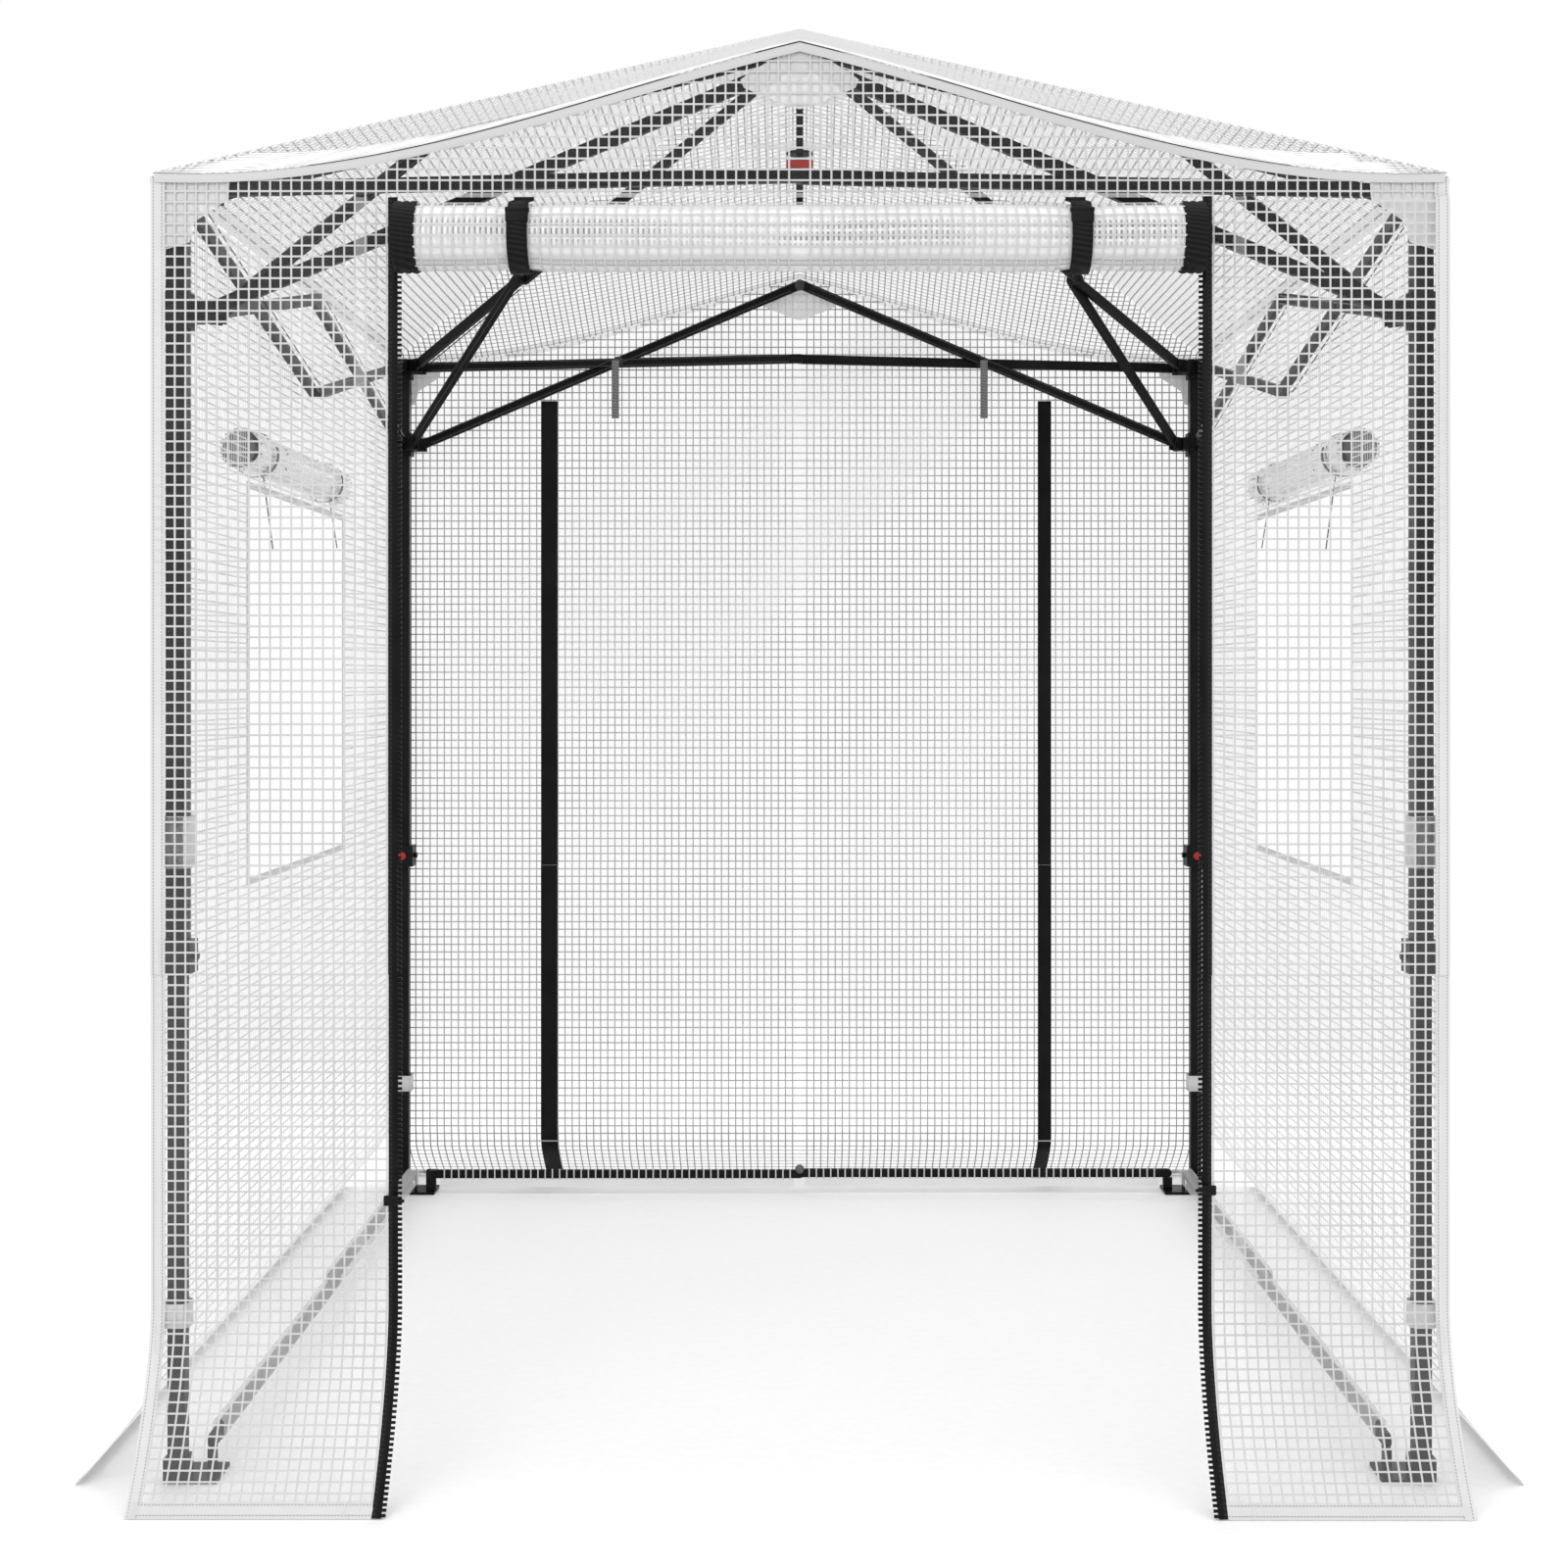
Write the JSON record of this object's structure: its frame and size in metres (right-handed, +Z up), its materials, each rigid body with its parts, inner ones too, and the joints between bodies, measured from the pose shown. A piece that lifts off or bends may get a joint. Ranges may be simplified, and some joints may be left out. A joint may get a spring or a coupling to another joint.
{
  "type": "mesh greenhouse",
  "caption": "Walk-in pop-up greenhouse: folding scissor-truss steel frame under a fitted grid-film cover with a hip roof, roll-up door and side windows.",
  "frame": {"origin": "on the floor at the centre of the footprint", "axes": "+Z up, the doorway faces -Y, +X to the right seen from the doorway"},
  "size_m": [2.026, 2.1182, 2.299],
  "materials": {
    "film": "clear film with white reinforcing grid",
    "black_steel": "satin black",
    "black_plastic": "moulded",
    "red_plastic": "moulded"
  },
  "bodies": {
    "frame_and_cover": {"front_left_outer_leg": "black_steel", "front_wall": "film", "back_wall": "film", "left_wall": "film", "right_wall": "film", "roof": "film", "door_roll": "film"},
    "front_left_tie_bar": {"front_left_tie_bar": "black_steel"},
    "front_right_tie_bar": {"front_right_tie_bar": "black_steel"},
    "front_right_outer_leg": {"front_right_outer_leg": "black_steel"},
    "front_left_apex_bar": {"front_left_apex_bar": "black_steel"},
    "front_right_apex_bar": {"front_right_apex_bar": "black_steel"},
    "back_left_tie_bar": {"back_left_tie_bar": "black_steel"},
    "back_right_tie_bar": {"back_right_tie_bar": "black_steel"},
    "back_right_outer_leg": {"back_right_outer_leg": "black_steel"},
    "back_left_apex_bar": {"back_left_apex_bar": "black_steel"},
    "back_right_apex_bar": {"back_right_apex_bar": "black_steel"},
    "left_front_eave_bar": {"left_front_eave_bar": "black_steel"},
    "left_back_eave_bar": {"left_back_eave_bar": "black_steel"},
    "back_left_outer_leg": {"back_left_outer_leg": "black_steel"},
    "left_front_slider_bar": {"left_front_slider_bar": "black_steel"},
    "front_left_slider": {"front_left_slider": "black_plastic"},
    "left_back_slider_bar": {"left_back_slider_bar": "black_steel"},
    "back_left_slider": {"back_left_slider": "black_plastic"},
    "right_front_eave_bar": {"right_front_eave_bar": "black_steel"},
    "right_back_eave_bar": {"right_back_eave_bar": "black_steel"},
    "right_front_slider_bar": {"right_front_slider_bar": "black_steel"},
    "front_right_slider": {"front_right_slider": "black_plastic"},
    "right_back_slider_bar": {"right_back_slider_bar": "black_steel"},
    "back_right_slider": {"back_right_slider": "black_plastic"},
    "front_left_outer_rafter": {"front_left_outer_rafter": "black_steel"},
    "front_left_inner_rafter": {"front_left_inner_rafter": "black_steel"},
    "front_left_rafter_strut": {"front_left_rafter_strut": "black_steel"},
    "roof_hub_and_mast": {"roof_hub_and_mast": "black_plastic"},
    "front_right_outer_rafter": {"front_right_outer_rafter": "black_steel"},
    "front_right_inner_rafter": {"front_right_inner_rafter": "black_steel"},
    "front_right_rafter_strut": {"front_right_rafter_strut": "black_steel"},
    "back_left_outer_rafter": {"back_left_outer_rafter": "black_steel"},
    "back_left_inner_rafter": {"back_left_inner_rafter": "black_steel"},
    "back_left_rafter_strut": {"back_left_rafter_strut": "black_steel"},
    "back_right_outer_rafter": {"back_right_outer_rafter": "black_steel"},
    "back_right_inner_rafter": {"back_right_inner_rafter": "black_steel"},
    "back_right_rafter_strut": {"back_right_rafter_strut": "black_steel"},
    "front_left_inner_leg": {"front_left_inner_leg": "black_steel"},
    "front_right_inner_leg": {"front_right_inner_leg": "black_steel"},
    "back_left_inner_leg": {"back_left_inner_leg": "black_steel"},
    "back_right_inner_leg": {"back_right_inner_leg": "black_steel"},
    "back_rail_left_half": {"back_rail_left_half": "black_steel"},
    "back_rail_right_half": {"back_rail_right_half": "black_steel"},
    "left_rail_back_half": {"left_rail_back_half": "black_steel"},
    "left_rail_front_half": {"left_rail_front_half": "black_steel"},
    "right_rail_back_half": {"right_rail_back_half": "black_steel"},
    "right_rail_front_half": {"right_rail_front_half": "black_steel"},
    "front_left_lock_button": {"front_left_lock_button": "red_plastic"},
    "front_right_lock_button": {"front_right_lock_button": "red_plastic"},
    "back_left_lock_button": {"back_left_lock_button": "red_plastic"},
    "back_right_lock_button": {"back_right_lock_button": "red_plastic"},
    "mast_lock": {"mast_lock": "red_plastic"},
    "left_zipper_slider": {"left_zipper_slider": "black_plastic"},
    "right_zipper_slider": {"right_zipper_slider": "black_plastic"}
  },
  "joints": [
    {"name": "fold", "type": "hinge", "parent": "frame_and_cover", "child": "front_left_tie_bar", "pos_m": [-0.837, -0.90808, 1.815], "axis": [0, 1, 0], "range_deg": [0, 84.37], "deforming": ["front_wall", "back_wall", "left_wall", "right_wall", "roof", "door_roll"]},
    {"name": "front_tie_middle", "type": "hinge", "parent": "front_left_tie_bar", "child": "front_right_tie_bar", "pos_m": [0, -0.90808, 1.835], "axis": [0, -1, 0], "range_deg": [0, 168.75]},
    {"name": "front_right_leg_fold", "type": "hinge", "parent": "front_right_tie_bar", "child": "front_right_outer_leg", "pos_m": [0.837, -0.90808, 1.815], "axis": [0, 1, 0], "range_deg": [0, 84.38]},
    {"name": "front_left_gable_cross", "type": "hinge", "parent": "front_left_tie_bar", "child": "front_left_apex_bar", "pos_m": [-0.412, -0.90808, 1.82516], "axis": [0, -1, 0], "range_deg": [0, 144.97]},
    {"name": "front_right_gable_cross", "type": "hinge", "parent": "front_right_tie_bar", "child": "front_right_apex_bar", "pos_m": [0.412, -0.90808, 1.82516], "axis": [0, 1, 0], "range_deg": [0, 144.97]},
    {"name": "back_left_tie_pivot", "type": "hinge", "parent": "back_left_outer_leg", "child": "back_left_tie_bar", "pos_m": [-0.837, 0.90808, 1.815], "axis": [0, 1, 0], "range_deg": [0, 84.38]},
    {"name": "back_tie_middle", "type": "hinge", "parent": "back_left_tie_bar", "child": "back_right_tie_bar", "pos_m": [0, 0.90808, 1.835], "axis": [0, -1, 0], "range_deg": [0, 168.75]},
    {"name": "back_right_leg_fold", "type": "hinge", "parent": "back_right_tie_bar", "child": "back_right_outer_leg", "pos_m": [0.837, 0.90808, 1.815], "axis": [0, 1, 0], "range_deg": [0, 84.38]},
    {"name": "back_left_gable_cross", "type": "hinge", "parent": "back_left_tie_bar", "child": "back_left_apex_bar", "pos_m": [-0.412, 0.90808, 1.82516], "axis": [0, -1, 0], "range_deg": [0, 144.97]},
    {"name": "back_right_gable_cross", "type": "hinge", "parent": "back_right_tie_bar", "child": "back_right_apex_bar", "pos_m": [0.412, 0.90808, 1.82516], "axis": [0, 1, 0], "range_deg": [0, 144.97]},
    {"name": "left_front_eave_pivot", "type": "hinge", "parent": "frame_and_cover", "child": "left_front_eave_bar", "pos_m": [-0.875, -0.87008, 1.815], "axis": [-1, 0, 0], "range_deg": [0, 72.35]},
    {"name": "left_eave_middle", "type": "hinge", "parent": "left_front_eave_bar", "child": "left_back_eave_bar", "pos_m": [-0.875, 0, 1.645], "axis": [1, 0, 0], "range_deg": [0, 144.69]},
    {"name": "back_left_leg_fold", "type": "hinge", "parent": "left_back_eave_bar", "child": "back_left_outer_leg", "pos_m": [-0.875, 0.87008, 1.815], "axis": [-1, 0, 0], "range_deg": [0, 72.35]},
    {"name": "left_front_side_cross", "type": "hinge", "parent": "left_front_eave_bar", "child": "left_front_slider_bar", "pos_m": [-0.875, -0.43504, 1.73], "axis": [1, 0, 0], "range_deg": [0, 144.69]},
    {"name": "front_left_slider_pivot", "type": "hinge", "parent": "left_front_slider_bar", "child": "front_left_slider", "pos_m": [-0.875, -0.87008, 1.645], "axis": [-1, 0, 0], "range_deg": [0, 72.35]},
    {"name": "left_back_side_cross", "type": "hinge", "parent": "left_back_eave_bar", "child": "left_back_slider_bar", "pos_m": [-0.875, 0.43504, 1.73], "axis": [-1, 0, 0], "range_deg": [0, 144.69]},
    {"name": "back_left_slider_pivot", "type": "hinge", "parent": "left_back_slider_bar", "child": "back_left_slider", "pos_m": [-0.875, 0.87008, 1.645], "axis": [1, 0, 0], "range_deg": [0, 72.35]},
    {"name": "right_front_eave_pivot", "type": "hinge", "parent": "front_right_outer_leg", "child": "right_front_eave_bar", "pos_m": [0.875, -0.87008, 1.815], "axis": [-1, 0, 0], "range_deg": [0, 72.35]},
    {"name": "right_eave_middle", "type": "hinge", "parent": "right_front_eave_bar", "child": "right_back_eave_bar", "pos_m": [0.875, 0, 1.645], "axis": [1, 0, 0], "range_deg": [0, 144.69]},
    {"name": "right_front_side_cross", "type": "hinge", "parent": "right_front_eave_bar", "child": "right_front_slider_bar", "pos_m": [0.875, -0.43504, 1.73], "axis": [1, 0, 0], "range_deg": [0, 144.69]},
    {"name": "front_right_slider_pivot", "type": "hinge", "parent": "right_front_slider_bar", "child": "front_right_slider", "pos_m": [0.875, -0.87008, 1.645], "axis": [-1, 0, 0], "range_deg": [0, 72.35]},
    {"name": "right_back_side_cross", "type": "hinge", "parent": "right_back_eave_bar", "child": "right_back_slider_bar", "pos_m": [0.875, 0.43504, 1.73], "axis": [-1, 0, 0], "range_deg": [0, 144.69]},
    {"name": "back_right_slider_pivot", "type": "hinge", "parent": "right_back_slider_bar", "child": "back_right_slider", "pos_m": [0.875, 0.87008, 1.645], "axis": [1, 0, 0], "range_deg": [0, 72.35]},
    {"name": "front_left_rafter_pivot", "type": "hinge", "parent": "frame_and_cover", "child": "front_left_outer_rafter", "pos_m": [-0.837, -0.87008, 1.815], "axis": [-0.7207, 0.6933, 0], "range_deg": [0, 100.34]},
    {"name": "front_left_rafter_elbow", "type": "hinge", "parent": "front_left_outer_rafter", "child": "front_left_inner_rafter", "pos_m": [-0.57518, -0.59792, 1.9557], "axis": [0.7207, -0.6933, 0], "range_deg": [0, 170.37]},
    {"name": "front_left_strut_pivot", "type": "hinge", "parent": "front_left_slider", "child": "front_left_rafter_strut", "pos_m": [-0.837, -0.87008, 1.645], "axis": [0.7207, -0.6933, 0], "range_deg": [0, 42.25]},
    {"name": "hub_pivot", "type": "hinge", "parent": "front_left_inner_rafter", "child": "roof_hub_and_mast", "pos_m": [-0.05546, -0.05765, 2.235], "axis": [-0.7207, 0.6933, 0], "range_deg": [0, 70.04]},
    {"name": "front_right_rafter_pivot", "type": "hinge", "parent": "front_right_outer_leg", "child": "front_right_outer_rafter", "pos_m": [0.837, -0.87008, 1.815], "axis": [-0.7207, -0.6933, 0], "range_deg": [0, 100.34]},
    {"name": "front_right_rafter_elbow", "type": "hinge", "parent": "front_right_outer_rafter", "child": "front_right_inner_rafter", "pos_m": [0.57518, -0.59792, 1.9557], "axis": [0.7207, 0.6933, 0], "range_deg": [0, 170.37]},
    {"name": "front_right_strut_pivot", "type": "hinge", "parent": "front_right_slider", "child": "front_right_rafter_strut", "pos_m": [0.837, -0.87008, 1.645], "axis": [0.7207, 0.6933, 0], "range_deg": [0, 42.25]},
    {"name": "back_left_rafter_pivot", "type": "hinge", "parent": "back_left_outer_leg", "child": "back_left_outer_rafter", "pos_m": [-0.837, 0.87008, 1.815], "axis": [0.7207, 0.6933, 0], "range_deg": [0, 100.34]},
    {"name": "back_left_rafter_elbow", "type": "hinge", "parent": "back_left_outer_rafter", "child": "back_left_inner_rafter", "pos_m": [-0.57518, 0.59792, 1.9557], "axis": [-0.7207, -0.6933, 0], "range_deg": [0, 170.37]},
    {"name": "back_left_strut_pivot", "type": "hinge", "parent": "back_left_slider", "child": "back_left_rafter_strut", "pos_m": [-0.837, 0.87008, 1.645], "axis": [-0.7207, -0.6933, 0], "range_deg": [0, 42.25]},
    {"name": "back_right_rafter_pivot", "type": "hinge", "parent": "back_right_outer_leg", "child": "back_right_outer_rafter", "pos_m": [0.837, 0.87008, 1.815], "axis": [0.7207, -0.6933, 0], "range_deg": [0, 100.34]},
    {"name": "back_right_rafter_elbow", "type": "hinge", "parent": "back_right_outer_rafter", "child": "back_right_inner_rafter", "pos_m": [0.57518, 0.59792, 1.9557], "axis": [-0.7207, 0.6933, 0], "range_deg": [0, 170.37]},
    {"name": "back_right_strut_pivot", "type": "hinge", "parent": "back_right_slider", "child": "back_right_rafter_strut", "pos_m": [0.837, 0.87008, 1.645], "axis": [-0.7207, 0.6933, 0], "range_deg": [0, 42.25]},
    {"name": "leg_height", "type": "slide", "parent": "frame_and_cover", "child": "front_left_inner_leg", "axis": [0, 0, 1], "range_m": [0, 0.45], "deforming": ["front_wall", "back_wall", "left_wall", "right_wall"]},
    {"name": "front_right_leg_height", "type": "slide", "parent": "front_right_outer_leg", "child": "front_right_inner_leg", "axis": [0, 0, 1], "range_m": [0, 0.45]},
    {"name": "back_left_leg_height", "type": "slide", "parent": "back_left_outer_leg", "child": "back_left_inner_leg", "axis": [0, 0, 1], "range_m": [0, 0.45]},
    {"name": "back_right_leg_height", "type": "slide", "parent": "back_right_outer_leg", "child": "back_right_inner_leg", "axis": [0, 0, 1], "range_m": [0, 0.45]},
    {"name": "back_rail_pivot", "type": "hinge", "parent": "back_left_inner_leg", "child": "back_rail_left_half", "pos_m": [-0.809, 0.87608, 0.041], "axis": [0, -1, 0], "range_deg": [0, 84.77]},
    {"name": "back_rail_middle", "type": "hinge", "parent": "back_rail_left_half", "child": "back_rail_right_half", "pos_m": [0, 0.87608, 0.041], "axis": [0, 1, 0], "range_deg": [0, 169.52]},
    {"name": "left_rail_pivot", "type": "hinge", "parent": "back_left_inner_leg", "child": "left_rail_back_half", "pos_m": [-0.843, 0.86408, 0.041], "axis": [-1, 0, 0], "range_deg": [0, 83.64]},
    {"name": "left_rail_middle", "type": "hinge", "parent": "left_rail_back_half", "child": "left_rail_front_half", "pos_m": [-0.843, 0, 0.041], "axis": [1, 0, 0], "range_deg": [0, 167.26]},
    {"name": "right_rail_pivot", "type": "hinge", "parent": "back_right_inner_leg", "child": "right_rail_back_half", "pos_m": [0.843, 0.86408, 0.041], "axis": [-1, 0, 0], "range_deg": [0, 83.64]},
    {"name": "right_rail_middle", "type": "hinge", "parent": "right_rail_back_half", "child": "right_rail_front_half", "pos_m": [0.843, 0, 0.041], "axis": [1, 0, 0], "range_deg": [0, 167.26]},
    {"name": "front_left_button_press", "type": "slide", "parent": "frame_and_cover", "child": "front_left_lock_button", "axis": [0, -1, 0], "range_m": [0, 0.0038], "stiffness_N_per_m": 1500, "springref_m": -0.003},
    {"name": "front_right_button_press", "type": "slide", "parent": "front_right_outer_leg", "child": "front_right_lock_button", "axis": [0, -1, 0], "range_m": [0, 0.0038], "stiffness_N_per_m": 1500, "springref_m": -0.003},
    {"name": "back_left_button_press", "type": "slide", "parent": "back_left_outer_leg", "child": "back_left_lock_button", "axis": [0, 1, 0], "range_m": [0, 0.0038], "stiffness_N_per_m": 1500, "springref_m": -0.003},
    {"name": "back_right_button_press", "type": "slide", "parent": "back_right_outer_leg", "child": "back_right_lock_button", "axis": [0, 1, 0], "range_m": [0, 0.0038], "stiffness_N_per_m": 1500, "springref_m": -0.003},
    {"name": "mast_lock_slide", "type": "slide", "parent": "roof_hub_and_mast", "child": "mast_lock", "axis": [0, 0, 1], "range_m": [0, 0.01], "stiffness_N_per_m": 600, "springref_m": -0.006},
    {"name": "left_zipper_slide", "type": "slide", "parent": "frame_and_cover", "child": "left_zipper_slider", "axis": [0, 0, 1], "range_m": [-0.145, 1.22]},
    {"name": "right_zipper_slide", "type": "slide", "parent": "front_right_outer_leg", "child": "right_zipper_slider", "axis": [0, 0, 1], "range_m": [-0.145, 1.22]}
  ],
  "couplings": [
    {"joint": "front_tie_middle", "follows": "fold", "ratio": 2},
    {"joint": "front_right_leg_fold", "follows": "fold", "ratio": 1},
    {"joint": "front_left_gable_cross", "follows": "fold", "ratio": 1.7181},
    {"joint": "front_right_gable_cross", "follows": "fold", "ratio": 1.7181},
    {"joint": "back_left_tie_pivot", "follows": "fold", "ratio": 1},
    {"joint": "back_tie_middle", "follows": "fold", "ratio": 2},
    {"joint": "back_right_leg_fold", "follows": "fold", "ratio": 1},
    {"joint": "back_left_gable_cross", "follows": "fold", "ratio": 1.7181},
    {"joint": "back_right_gable_cross", "follows": "fold", "ratio": 1.7181},
    {"joint": "left_front_eave_pivot", "follows": "fold", "ratio": 0.85738},
    {"joint": "left_eave_middle", "follows": "fold", "ratio": 1.7148},
    {"joint": "back_left_leg_fold", "follows": "fold", "ratio": 0.85738},
    {"joint": "left_front_side_cross", "follows": "fold", "ratio": 1.7148},
    {"joint": "front_left_slider_pivot", "follows": "fold", "ratio": 0.85738},
    {"joint": "left_back_side_cross", "follows": "fold", "ratio": 1.7148},
    {"joint": "back_left_slider_pivot", "follows": "fold", "ratio": 0.85738},
    {"joint": "right_front_eave_pivot", "follows": "fold", "ratio": 0.85738},
    {"joint": "right_eave_middle", "follows": "fold", "ratio": 1.7148},
    {"joint": "right_front_side_cross", "follows": "fold", "ratio": 1.7148},
    {"joint": "front_right_slider_pivot", "follows": "fold", "ratio": 0.85738},
    {"joint": "right_back_side_cross", "follows": "fold", "ratio": 1.7148},
    {"joint": "back_right_slider_pivot", "follows": "fold", "ratio": 0.85738},
    {"joint": "front_left_rafter_pivot", "follows": "fold", "ratio": 1.1891},
    {"joint": "front_left_rafter_elbow", "follows": "fold", "ratio": 2.0191},
    {"joint": "front_left_strut_pivot", "follows": "fold", "ratio": 0.50064},
    {"joint": "hub_pivot", "follows": "fold", "ratio": 0.83003},
    {"joint": "front_right_rafter_pivot", "follows": "fold", "ratio": 1.1891},
    {"joint": "front_right_rafter_elbow", "follows": "fold", "ratio": 2.0191},
    {"joint": "front_right_strut_pivot", "follows": "fold", "ratio": 0.50064},
    {"joint": "back_left_rafter_pivot", "follows": "fold", "ratio": 1.1891},
    {"joint": "back_left_rafter_elbow", "follows": "fold", "ratio": 2.0191},
    {"joint": "back_left_strut_pivot", "follows": "fold", "ratio": 0.50064},
    {"joint": "back_right_rafter_pivot", "follows": "fold", "ratio": 1.1891},
    {"joint": "back_right_rafter_elbow", "follows": "fold", "ratio": 2.0191},
    {"joint": "back_right_strut_pivot", "follows": "fold", "ratio": 0.50064},
    {"joint": "front_right_leg_height", "follows": "leg_height", "ratio": 1},
    {"joint": "back_left_leg_height", "follows": "leg_height", "ratio": 1},
    {"joint": "back_right_leg_height", "follows": "leg_height", "ratio": 1},
    {"joint": "back_rail_pivot", "follows": "fold", "ratio": 1.0045},
    {"joint": "back_rail_middle", "follows": "fold", "ratio": 2.009},
    {"joint": "left_rail_pivot", "follows": "fold", "ratio": 0.99111},
    {"joint": "left_rail_middle", "follows": "fold", "ratio": 1.9822},
    {"joint": "right_rail_pivot", "follows": "fold", "ratio": 0.99111},
    {"joint": "right_rail_middle", "follows": "fold", "ratio": 1.9822}
  ]
}
